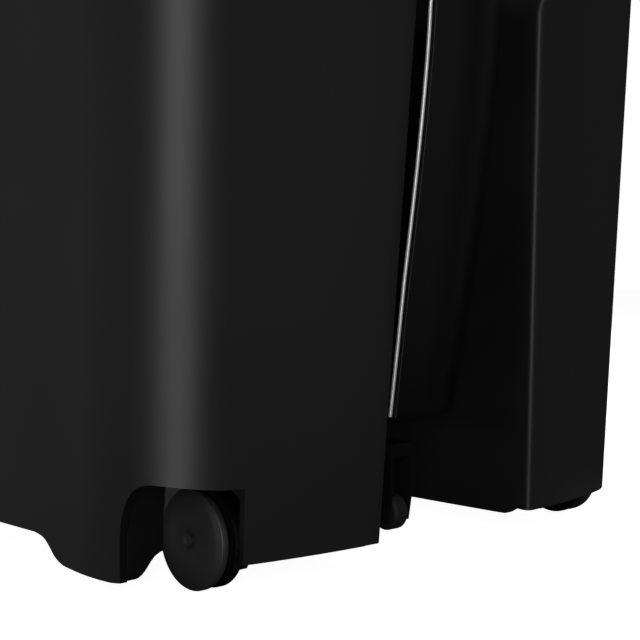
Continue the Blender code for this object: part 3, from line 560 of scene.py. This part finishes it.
def front_cover():
    """The strip down the middle of the recess: a crowned channel with rounded shoulders."""
    rows = []
    frames = strip_frames()
    for i, (y, z, back_y, back_z) in enumerate(frames):
        half = strip_half(z)
        rise = STRIP_CROWN * min(1.0, (len(frames) - 1 - i) / 18)
        section = [(-half, 0.0065), (-half, 0.0050), (-half, 0.0036), (-half, 0.0024)]
        for k in range(5):
            turn = math.radians(18 + 72 * k / 4) if k else 0.0
            section.append((-half + 0.0012 * (1 - math.cos(turn)), 0.0016 - 0.0012 * math.sin(turn)))
        for k in range(1, 11):
            x = (half - 0.0012) * (k / 10 - 1)
            section.append((x, 0.0004 - (rise + 0.0004) * (1 - (x / (half - 0.0012)) ** 2)))
        section += [(-x, depth) for x, depth in section[-2::-1]]
        rows.append([(x, y + back_y * depth, z + back_z * depth) for x, depth in section])
    obj = piece("cover_strip", grid_mesh("strip", rows), COVER, "body", ["front_cover"], 50)
    thicken(obj, 0.0024)
    soften(obj, 0.0004, 2, 60)


def front_trim(side):
    word = "right" if side > 0 else "left"
    radius = BEAD_RADIUS if side < 0 else FAR_BEAD_RADIUS
    points = []
    for y, z, back_y, back_z in strip_frames()[:-1]:
        x = side * (strip_half(z) + radius + 0.0002)
        points.append((x, y + TRIM_BACK * back_y, z + TRIM_BACK * back_z))
    mesh = tube_mesh(f"{word}_bead", points, radius, 16)
    piece(f"{word}_silver_bead", mesh, SILVER, "body", [f"{word}_trim"], 60)


# Wheels ---------------------------------------------------------------------------------------

def wheel(name, body, centre, outward):
    """One disc of a twin wheel: a dished face with a small hub pip, a raised rim and a tread."""
    r, w = WHEEL_RADIUS, WHEEL_WIDTH
    profile = [(0.0, w - 0.0003), (0.0006, w - 0.0004), (0.0010, w - 0.0010), (0.0014, w - 0.0017)]
    profile += [(0.0024, w - 0.0018), (0.0034, w - 0.0013), (0.0044, w - 0.0006), (0.0056, w - 0.0002)]
    profile += [(0.0120, w - 0.0001), (r - 0.0042, w - 0.0002), (r - 0.0037, w - 0.0003)]
    profile += [(r - 0.0030, w - 0.0005), (r - 0.0006, w - 0.0011), (r - 0.0002, w - 0.0013)]
    profile += [(r, w - 0.0016), (r, 0.0014), (r - 0.0002, 0.0009), (r - 0.0007, 0.0003), (r - 0.0015, 0.0)]
    profile += [(0.0050, 0.0), (0.0, 0.0)]
    mesh = turned_mesh(name, profile, centre, (outward, 0, 0), 96)
    inward = name.startswith("front") and outward * centre[0] < 0
    piece(f"{name}_disc", mesh, SHADE if inward else WHEEL, body, [name], 40)


def wheel_pair(name, body, x, y):
    for word, outward in (("left", -1), ("right", 1)):
        wheel(f"{name}_{word}_wheel", body, (x + outward * WHEEL_INNER, y, WHEEL_RADIUS), outward)


def front_fork(side):
    """The fixed front fork's fender, wrapped round the front of the inner disc."""
    word = "right" if side > 0 else "left"
    y, z = FRONT_WHEEL_Y, WHEEL_RADIUS
    inner, outer = (0.0254, 0.0271) if side < 0 else (0.0251, 0.0258)
    outline = arc((y, z), outer, 78, 207, 40) + arc((y, z), inner, 206, 78, 40)
    mesh = plate_mesh("fender", outline, 0.0093, across(side * 0.14585))
    hood = piece(f"front_{word}_fender", mesh, COVER, "body", ())
    soften(hood, 0.0003)


# Hopper and deck ------------------------------------------------------------------------------

def rounded_loop(half_x, low_y, high_y, radius, steps=12, straight=10):
    """A rounded rectangle with close points along its sides and round its corners."""
    corners = ((half_x - radius, low_y + radius, -90), (half_x - radius, high_y - radius, 0),
               (radius - half_x, high_y - radius, 90), (radius - half_x, low_y + radius, 180))
    arcs = [arc((x, y), radius, start, start + 90, steps) for x, y, start in corners]
    points = []
    for here, there in zip(arcs, arcs[1:] + arcs[:1]):
        points += here
        (x0, y0), (x1, y1) = here[-1], there[0]
        for i in range(1, straight):
            points.append((x0 + (x1 - x0) * i / straight, y0 + (y1 - y0) * i / straight))
    return points


def ring_mesh(name, loops):
    """A closed skin through loops of 3-D points that follow each other round a wall."""
    bm = bmesh.new()
    rings = [[bm.verts.new(point) for point in loop] for loop in loops]
    count = len(rings[0])
    for low, high in zip(rings, rings[1:] + rings[:1]):
        for i in range(count):
            j = (i + 1) % count
            bm.faces.new((low[i], low[j], high[j], high[i]))
    bmesh.ops.recalc_face_normals(bm, faces=bm.faces)
    return from_bmesh(bm, name)


def hopper():
    """The tub: upright skirt, small step, flared wall with a rolled rim, sloping floor and well."""
    def wall(inset, half=KNEE[0], low=KNEE[1], high=KNEE[2], radius=KNEE[3]):
        return rounded_loop(half - inset, low + inset, high - inset, radius - inset)

    def well(radius):
        made = []
        for x, y in wall(0):
            away = Vector((x, y - DISC_Y)).normalized()
            made.append((radius * away.x, DISC_Y + radius * away.y))
        return made

    def blend(share, inset):
        """A loop between the well and the wall."""
        return [(a[0] + (b[0] - a[0]) * share, a[1] + (b[1] - a[1]) * share)
                for a, b in zip(well(WELL_RADIUS - inset), wall(inset))]

    def flare(share):
        """The outline part of the way from the knee to the rim."""
        return [k + (r - k) * share for k, r in zip(KNEE, RIM)]

    low, step, top, thick = HOPPER_LOW, HOPPER_STEP, HOPPER_TOP, HOPPER_WALL
    loops = [(wall(0.0004, *SKIRT), low), (wall(0, *SKIRT), low + 0.0006)]
    loops += [(wall(0, *SKIRT), z) for z in (0.64, 0.66, 0.68, 0.70, step - 0.0012)]
    loops += [(wall(0.0013), step - 0.0006), (wall(0.0003), step), (wall(0), step + 0.0010)]
    for i in range(1, 9):
        share = i / 8
        z = step + 0.0010 + (top - 0.0090 - step) * share
        loops.append((wall(0.0012 * share, *flare(share)), z))
    bead = 0.0028
    for k in range(0, 9):
        turn = math.radians(-60 + 30 * k)
        z = top - bead + bead * math.sin(turn)
        loops.append((wall(bead - bead * math.cos(turn), *RIM), z))
    for i in range(0, 9):
        share = 1 - i / 8
        z = step + 0.0040 + (top - 0.0130 - step) * share
        loops.append((wall(thick + 0.0012 * share, *flare(share)), z))
    slope = 0.037
    loops += [(blend(share, thick), 0.6695 + slope * share + 0.0008 * (share > 0.95))
              for share in (0.97, 0.93, 0.85, 0.7, 0.55, 0.4, 0.25, 0.12, 0.05, 0.02)]
    inner = WELL_RADIUS - thick
    loops += [(well(inner + 0.0002), 0.6692), (well(inner), 0.6680), (well(inner), low)]
    loops += [(well(WELL_RADIUS), low), (well(WELL_RADIUS), 0.6660)]
    loops += [(blend(share, 0), 0.6665 + slope * share - 0.001) for share in (0.03, 0.25, 0.6, 0.9)]
    loops += [(wall(thick, *SKIRT), 0.6990), (wall(thick, *SKIRT), low)]
    mesh = ring_mesh("hopper", [[(x, y, z) for x, y in loop] for loop, z in loops])
    piece("hopper_tub", mesh, BLACK, "body", ["hopper"], 40)


def deck():
    """The lid of the body, cut to the body's own outline, with its holes."""
    top, low = BODY_TOP + 0.0065, BODY_TOP + 0.0005
    half = []
    steps = [2 + i / 16 for i in range(16)] + [3 + i / 20 for i in range(20)] + [4, 4.5]
    steps += [5 + i / 14 for i in range(14)] + [6, 6.9999]
    for t in steps:
        half.append(shell_point(t, BODY_TOP))
    half[0] = (0.0, half[0][1])
    outline = half + [(0.0, half[-1][1])] + [(-x, y) for x, y in reversed(half[1:])]
    mesh = plate_mesh("deck", outline, top - low, Matrix.Translation((0, 0, (top + low) / 2)))
    holes = [(0, TUBE_Y, BALL_HOLE), (0, DISC_Y, 0.008)]
    holes += [(side * HANDLE_X, HANDLE_Y, 0.0074) for side in (-1, 1)]
    tools = []
    for x, y, radius in holes:
        rod = [(0.0, 0.02), (radius, 0.02), (radius, -0.02), (0.0, -0.02)]
        tools.append(turned_mesh("hole", rod, (x, y, top - 0.003), (0, 0, 1), 48))
    lid = piece("body_lid", carved(mesh, tools), BLACK, "body", ["top_deck"], 40)
    soften(lid, 0.0012, 3, 50)


def feed_plate():
    """The turning disc, with five ball pockets and a pointed hub."""
    top = DISC_TOP
    profile = [(0, top + 0.022), (0.0035, top + 0.0215), (0.0080, top + 0.0200), (0.0125, top + 0.0165)]
    profile += [(0.0170, top + 0.0090), (0.0200, top + 0.0030), (0.0225, top + 0.0006), (0.0250, top)]
    profile += [(DISC_RADIUS - 0.0015, top), (DISC_RADIUS, top - 0.0015)]
    profile += [(DISC_RADIUS, DISC_BASE + 0.0005), (DISC_RADIUS - 0.0005, DISC_BASE)]
    profile += [(0.0070, DISC_BASE), (0.0070, 0.6000), (0, 0.6000)]
    mesh = turned_mesh("feed", profile, (0, DISC_Y, 0), (0, 0, 1), 96)
    tools = []
    for i in range(5):
        a = math.radians(90 + 72 * i)
        place = (0.085 * math.cos(a), DISC_Y + 0.085 * math.sin(a), 0.655)
        rod = [(0.0, 0.045), (0.036, 0.045), (0.036, -0.045), (0.0, -0.045)]
        tools.append(turned_mesh("pocket", rod, place, (0, 0, 1), 56))
    disc = piece("feed_wheel", carved(mesh, tools), GREY, "feeder", ["feed_disc"], 40)
    soften(disc, 0.0015, 3, 50)


# Launcher and drives --------------------------------------------------------------------------

def throw_wheel(word, z):
    """A rubber wheel with a shallow groove for the ball, a moulded web and a bolted hub."""
    r, half = THROW_RADIUS, 0.020
    side = [(0, 0.0525), (0.0036, 0.0525), (0.0042, 0.0519), (0.0042, 0.0242), (0.0050, 0.0240)]
    side += [(0.0155, 0.0240), (0.0160, 0.0235), (0.0160, 0.0110), (0.0170, 0.0100), (r - 0.0170, 0.0100)]
    side += [(r - 0.0158, 0.0108), (r - 0.0128, 0.0190), (r - 0.0115, half), (r - 0.0028, half)]
    side += [(r - 0.0012, half - 0.0006), (r - 0.0003, half - 0.0020), (r, half - 0.0034)]
    side += [(r - 0.0008, 0.0130), (r - 0.0024, 0.0095), (r - 0.0036, 0.0055), (r - 0.0040, 0.0)]
    profile = side + [(radius, -height) for radius, height in reversed(side[:-1])]
    mesh = turned_mesh(f"{word}_throw", profile, (0, THROW_Y, z), (1, 0, 0), 96)
    piece(f"{word}_rubber_wheel", mesh, RUBBER, f"{word}_wheel", [f"{word}_throw_wheel"], 40)


def throw_motor(word, z, side):
    """A round motor with a stepped can, cooling slots round its end and a shaft boss."""
    face, end = 0.0493, 0.1180
    steps = ((0, 0), (0.0060, 0), (0.0065, 0.0006), (0.0065, 0.0020), (0.0080, 0.0022),
             (0.0255, 0.0022), (0.0275, 0.0035), (0.0287, 0.0060), (0.0290, 0.0090),
             (0.0290, 0.0200), (0.0284, 0.0204), (0.0284, 0.0214), (0.0290, 0.0218))
    profile = [(radius, end - depth) for radius, depth in steps]
    profile += [(0.0290, face + 0.0030), (0.0283, face + 0.0012), (0.0260, face), (0.0080, face)]
    profile += [(0.0080, face + 0.0080), (0, face + 0.0080)]
    mesh = turned_mesh(f"{word}_can", profile, (0, THROW_Y, z), (side, 0, 0), 64)
    tools = []
    for i in range(8):
        a = math.radians(45 * i + 22.5)
        slot = [(0.0, 0.004), (0.0026, 0.004), (0.0026, -0.004), (0.0, -0.004)]
        place = (side * end, THROW_Y + 0.017 * math.cos(a), z + 0.017 * math.sin(a))
        tools.append(turned_mesh("slot", slot, place, (1, 0, 0), 20))
    nodes = [f"{word}_throw_motor"]
    made = piece(f"{word}_motor_can", carved(mesh, tools), STEEL, "launcher", nodes, 40)
    soften(made, 0.0003, 2, 50)


def drop_tube():
    """The ball pipe with a belled mouth."""
    profile = [(0.0390, 0.6108), (0.0390, 0.5070), (0.0388, 0.5055), (0.0380, 0.5050), (0.0368, 0.5052)]
    profile += [(0.0362, 0.5062), (0.0362, 0.6098), (0.0368, 0.6108), (0.0380, 0.6110)]
    mesh = turned_mesh("pipe", profile, (0, TUBE_Y, 0), (0, 0, 1), 72, closed=True)
    piece("drop_pipe", mesh, SMOKE, "body", ["ball_tube"], 40)


# Rear details ---------------------------------------------------------------------------------

def rear_y(z):
    return REAR_Y + lean(z)


def rear_vents():
    """A bank of rounded louvres low on the rear cover."""
    bm = bmesh.new()
    for i in range(VENT_COUNT):
        z = VENT_LOW + VENT_PITCH * i
        y = rear_y(z)
        section = [(y - 0.0003, z - 0.0036), (y + 0.0006, z - 0.0034), (y + 0.0014, z - 0.0022),
                   (y + 0.0016, z - 0.0004), (y + 0.0010, z + 0.0024), (y + 0.0002, z + 0.0036),
                   (y - 0.0003, z + 0.0036)]
        ends = []
        tips = ((0.070, 0.25), (0.0694, 0.75), (0.0675, 1))
        for x, shrink in [(-x, shrink) for x, shrink in tips] + list(reversed(tips)):
            ends.append([bm.verts.new((x, y - 0.0003 + (py - y + 0.0003) * shrink, z + (pz - z) * shrink))
                         for py, pz in section])
        for low, high in zip(ends, ends[1:]):
            for k in range(len(section)):
                j = (k + 1) % len(section)
                bm.faces.new((low[k], low[j], high[j], high[k]))
        bm.faces.new(ends[0][::-1])
        bm.faces.new(ends[-1])
    bmesh.ops.recalc_face_normals(bm, faces=bm.faces)
    piece("rear_louvres", from_bmesh(bm, "louvres"), BLACK, "body", (), 40)


def rear_screws():
    """Six pan-head screws with cross recesses that hold the rear cover."""
    parts = []
    for x in (-SCREW_X, SCREW_X):
        for z in SCREW_HEIGHTS:
            centre = (x, rear_y(z) + 0.0001, z)
            head = [(0, 0.0014), (0.0018, 0.0013), (0.0030, 0.0009), (0.0036, 0.0003), (0.0037, -0.0004)]
            head += [(0, -0.0004)]
            mesh = turned_mesh("head", head, centre, (0, 1, 0), 32)
            tools = []
            for turn in (45, 135):
                slot = plate_mesh("slot", [(-0.0021, -0.0004), (0.0021, -0.0004), (0.0021, 0.0004),
                                           (-0.0021, 0.0004)], 0.002, Matrix.Identity(4))
                spin = Matrix.Rotation(math.radians(turn), 4, "Y") @ Matrix.Rotation(math.radians(90), 4, "X")
                slot.transform(Matrix.Translation((centre[0], centre[1] + 0.0016, centre[2])) @ spin)
                tools.append(slot)
            parts.append(carved(mesh, tools))
    bm = bmesh.new()
    for mesh in parts:
        bm.from_mesh(mesh)
    piece("rear_cover_screws", from_bmesh(bm, "screws"), STEEL, "body", (), 40)


def panel_bezel():
    """A rounded frame round the control tray."""
    rows = []
    section = ((-0.0040, 0.0), (-0.0036, 0.0008), (-0.0024, 0.0013), (-0.0008, 0.0014),
               (0.0002, 0.0010), (0.0006, 0.0002), (0.0006, -0.0020), (-0.0040, -0.0004))
    for inset, rise in section:
        low, high = PANEL_LOW + inset, PANEL_HIGH - inset
        loop = rounded_loop(PANEL_HALF - inset, low, high, 0.006 - inset * 0.5, 8, 6)
        rows.append([(x, rear_y(0.5) + rise - 0.0002, z) for x, z in loop])
    piece("panel_bezel", ring_mesh("bezel", rows), COVER, "body", (), 40)


# Floor, light and camera ----------------------------------------------------------------------

# Half sizes in X and Y of the painted shadow under the machine and of the dark paper round it.
UNDER_HALF, NEAR_HALF = (0.095, 0.135), (0.235, 0.300)


def outside(nodes, links, half_x, half_y):
    """0 within a rectangle round the origin and 1 outside it, over a 22 mm soft edge."""
    place = nodes.new("ShaderNodeTexCoord")
    split = nodes.new("ShaderNodeSeparateXYZ")
    links.new(place.outputs["Object"], split.inputs["Vector"])
    widest = nodes.new("ShaderNodeMath")
    widest.operation = "MAXIMUM"
    for i, (axis, half) in enumerate((("X", half_x), ("Y", half_y))):
        size = nodes.new("ShaderNodeMath")
        size.operation = "ABSOLUTE"
        links.new(split.outputs[axis], size.inputs[0])
        links.new(ramp(nodes, links, size.outputs[0], 0, 1, half - 0.022, half), widest.inputs[i])
    return widest.outputs[0]


def floor():
    """The pale paper. What the camera sees of it and what lights the object are set apart."""
    bm = bmesh.new()
    bmesh.ops.create_grid(bm, x_segments=1, y_segments=1, size=40)
    obj = bpy.data.objects.new("floor", from_bmesh(bm, "floor"))
    bpy.context.scene.collection.objects.link(obj)
    made, nodes, links, bsdf = shader("floor_white")
    bsdf.inputs["Base Color"].default_value = (0.20, 0.20, 0.20, 1)
    bsdf.inputs["Roughness"].default_value = 0.9
    clear = nodes.new("ShaderNodeBsdfTransparent")
    seen = nodes.new("ShaderNodeBsdfPrincipled")
    seen.inputs["Base Color"].default_value = (0.6, 0.6, 0.6, 1)
    seen.inputs["Roughness"].default_value = 0.9
    seen.inputs["Emission Color"].default_value = (1, 1, 1, 1)
    # The paper stays white round the object and falls to a painted shadow only underneath it, where its glow
    # fades out.
    under = outside(nodes, links, *UNDER_HALF)
    links.new(ramp(nodes, links, under, 0.0, 0.96, 0, 1), seen.inputs["Emission Strength"])
    # Light and reflections meet dark paper near the object and the boxes' lower halves beyond it.
    away = outside(nodes, links, *NEAR_HALF)
    near = nodes.new("ShaderNodeMixShader")
    links.new(away, near.inputs["Fac"])
    links.new(bsdf.outputs["BSDF"], near.inputs[1])
    links.new(clear.outputs["BSDF"], near.inputs[2])
    mix = nodes.new("ShaderNodeMixShader")
    path = nodes.new("ShaderNodeLightPath")
    links.new(path.outputs["Is Camera Ray"], mix.inputs["Fac"])
    links.new(near.outputs["Shader"], mix.inputs[1])
    links.new(seen.outputs["BSDF"], mix.inputs[2])
    links.new(mix.outputs["Shader"], nodes["Material Output"].inputs["Surface"])
    obj.data.materials.append(made)


def sky():
    world = bpy.data.worlds.new("studio")
    world.use_nodes = True
    nodes, links = world.node_tree.nodes, world.node_tree.links
    dim = nodes["Background"]
    dim.inputs["Color"].default_value = (1, 1, 1, 1)
    dim.inputs["Strength"].default_value = 0.022
    white = nodes.new("ShaderNodeBackground")
    white.inputs["Color"].default_value = (1, 1, 1, 1)
    white.inputs["Strength"].default_value = 1.0
    mix = nodes.new("ShaderNodeMixShader")
    path = nodes.new("ShaderNodeLightPath")
    links.new(path.outputs["Is Camera Ray"], mix.inputs["Fac"])
    links.new(dim.outputs["Background"], mix.inputs[1])
    links.new(white.outputs["Background"], mix.inputs[2])
    links.new(mix.outputs["Shader"], nodes["World Output"].inputs["Surface"])
    bpy.context.scene.world = world


def softbox(name, azimuth, elevation, distance, size, power, target=(-0.1, -0.2, 0.2)):
    """A rectangular light that looks at target from azimuth (degrees from +X) and elevation."""
    light = bpy.data.lights.new(name, "AREA")
    light.shape = "RECTANGLE"
    light.size, light.size_y = size
    light.energy = power
    obj = bpy.data.objects.new(name, light)
    bpy.context.scene.collection.objects.link(obj)
    a, e = math.radians(azimuth), math.radians(elevation)
    away = Vector((math.cos(a) * math.cos(e), math.sin(a) * math.cos(e), math.sin(e)))
    obj.location = Vector(target) + away * distance
    obj.rotation_euler = away.to_track_quat("Z", "Y").to_euler()
    return obj


def camera():
    data = bpy.data.cameras.new("camera")
    data.lens, data.sensor_width = 67.5, 36
    data.clip_start, data.clip_end = 0.01, 100
    obj = bpy.data.objects.new("camera", data)
    bpy.context.scene.collection.objects.link(obj)
    obj.location = (-0.51366, -0.68642, 0.14812)
    a, e = math.radians(46.171), math.radians(-1.593)
    look = Vector((math.cos(a) * math.cos(e), math.sin(a) * math.cos(e), math.sin(e)))
    obj.rotation_euler = look.to_track_quat("-Z", "Y").to_euler()
    bpy.context.scene.camera = obj


bpy.context.scene.view_settings.view_transform = "Standard"
camera()
sky()
floor()
softbox("front_box", -132, 3, 2.6, (0.9, 3.0), 29)
softbox("top_box", -90, 80, 3.0, (2.4, 2.4), 40)
softbox("side_box", 154, 2, 3.2, (5.0, 2.6), 10.5)
softbox("right_box", -68, 2, 3.2, (2.6, 2.4), 4.2)
softbox("far_box", -20, 2, 3.2, (1.4, 2.4), 0.8)
softbox("back_box", 58, 14, 3.0, (3.2, 2.6), 55, (0, 0, 0.4))

for hand in (-1, 1):
    body_shell(hand)
    foot_web(hand)
    front_trim(hand)
    front_fork(hand)
front_cover()
hopper()
deck()
feed_plate()
drop_tube()
rear_vents()
rear_screws()
panel_bezel()
for label, hand in (("lower", -1), ("upper", 1)):
    throw_wheel(label, LAUNCH_Z + hand * THROW_REACH)
    throw_motor(label, LAUNCH_Z + hand * THROW_REACH, hand)
for hand, label in ((-1, "left"), (1, "right")):
    wheel_pair(f"front_{label}", f"front_{label}_wheels", hand * WHEEL_X, FRONT_WHEEL_Y)
    wheel_pair(f"rear_{label}", f"rear_{label}_wheels", hand * WHEEL_X, REAR_STEM_Y - TRAIL)

FINISH = {
    BLACK: ("recess_back", "rear_cover"),
    DARK: ("base_plate", "yaw_pedestal", "control_box", "control_panel", "charge_socket"),
    GREY: ("battery", "panel_button_1", "panel_button_2", "panel_button_3", "panel_button_4"),
    SMOKE: ("ball_guide",),
    RUBBER: ("yaw_drive_roller", "handle_grip"),
    ROLLER_RUBBER: ("support_roller",),
    BAY_PAINTED_SHADE: ("front_left_fork", "front_right_fork"),
    WHEEL: ("rear_left_fork", "rear_right_fork",
            "front_left_axle", "front_right_axle", "rear_left_axle", "rear_right_axle"),
    SHADE: ("roller_bracket",),
    STEEL: ("feed_motor", "yaw_frame", "yaw_motor", "left_launcher_plate", "right_launcher_plate",
            "pitch_motor", "left_handle_sleeve", "right_handle_sleeve"),
    CHROME: ("left_handle_rod", "right_handle_rod"),
    RED: ("power_rocker", "handle_button"),
}
for finish, names in FINISH.items():
    for name in names:
        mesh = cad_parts[name].data
        mesh.materials.clear()
        mesh.materials.append(finish)
        soften(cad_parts[name], 0.0006, 2, 45)
